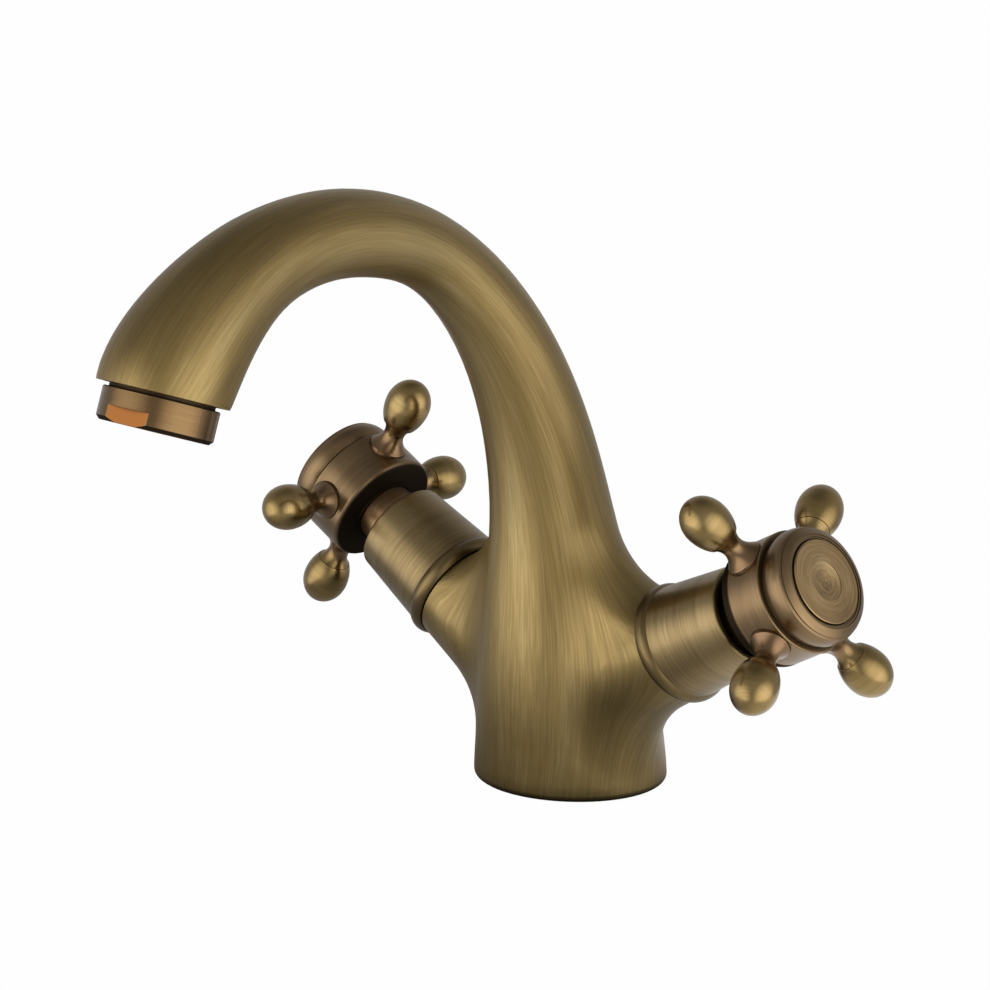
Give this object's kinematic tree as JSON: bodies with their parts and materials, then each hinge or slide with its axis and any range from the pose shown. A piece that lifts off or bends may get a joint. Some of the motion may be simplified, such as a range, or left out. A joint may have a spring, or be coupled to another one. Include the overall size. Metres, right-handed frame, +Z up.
{
  "type": "basin mixer faucet",
  "caption": "Basin mixer faucet in antiqued brushed brass with a swan-neck spout, outward-leaning valves in tapered sleeves, cross handles and an aerator outlet.",
  "frame": {"origin": "centre of the foot's underside, where it stands on the deck", "axes": "+Z up, the spout reaches to -Y, the hot handle is on -X and the cold handle on +X"},
  "size_m": [0.1765, 0.1863, 0.1559],
  "materials": {
    "antiqued_brass": "brushed satin",
    "copper_brown_brass": "brushed satin",
    "spun_brass": "spun satin",
    "plain_brass": "machined",
    "steel": "plain",
    "black_rubber": "matte",
    "red_fibre": "matte",
    "ceramic": "lapped",
    "white_plastic": "moulded"
  },
  "bodies": {
    "body": {"body_casting": "antiqued_brass", "base_gasket": "black_rubber", "aerator_housing": "copper_brown_brass", "aerator_insert": "white_plastic", "aerator_screen": "steel", "aerator_seal": "black_rubber", "hot_trim_ring": "antiqued_brass", "hot_sleeve": "antiqued_brass", "hot_housing_washer": "red_fibre", "hot_cartridge_body": "plain_brass", "hot_seat_seal": "black_rubber", "hot_fixed_disc": "ceramic", "cold_trim_ring": "antiqued_brass", "cold_sleeve": "antiqued_brass", "cold_housing_washer": "red_fibre", "cold_cartridge_body": "plain_brass", "cold_seat_seal": "black_rubber", "cold_fixed_disc": "ceramic"},
    "hot_handle": {"hot_hub": "copper_brown_brass", "hot_cap_ring": "copper_brown_brass", "hot_index_disc": "spun_brass", "hot_handle_screw": "steel", "hot_spindle": "plain_brass", "hot_thrust_washer": "white_plastic", "hot_stem_seals": "black_rubber", "hot_circlip": "steel", "hot_rotating_disc": "ceramic", "hot_lever_1": "antiqued_brass", "hot_lever_2": "antiqued_brass", "hot_lever_3": "antiqued_brass", "hot_lever_4": "antiqued_brass"},
    "cold_handle": {"cold_hub": "copper_brown_brass", "cold_cap_ring": "copper_brown_brass", "cold_index_disc": "spun_brass", "cold_handle_screw": "steel", "cold_spindle": "plain_brass", "cold_thrust_washer": "white_plastic", "cold_stem_seals": "black_rubber", "cold_circlip": "steel", "cold_rotating_disc": "ceramic", "cold_lever_1": "antiqued_brass", "cold_lever_2": "antiqued_brass", "cold_lever_3": "antiqued_brass", "cold_lever_4": "antiqued_brass"}
  },
  "joints": [
    {"name": "hot_handle_turn", "type": "hinge", "parent": "body", "child": "hot_handle", "pos_m": [0, -0.003, 0.0219], "axis": [-0.8771, 0, 0.4802], "range_deg": [0, 90]},
    {"name": "cold_handle_turn", "type": "hinge", "parent": "body", "child": "cold_handle", "pos_m": [0, -0.003, 0.0219], "axis": [-0.8771, 0, -0.4802], "range_deg": [0, 90]}
  ]
}
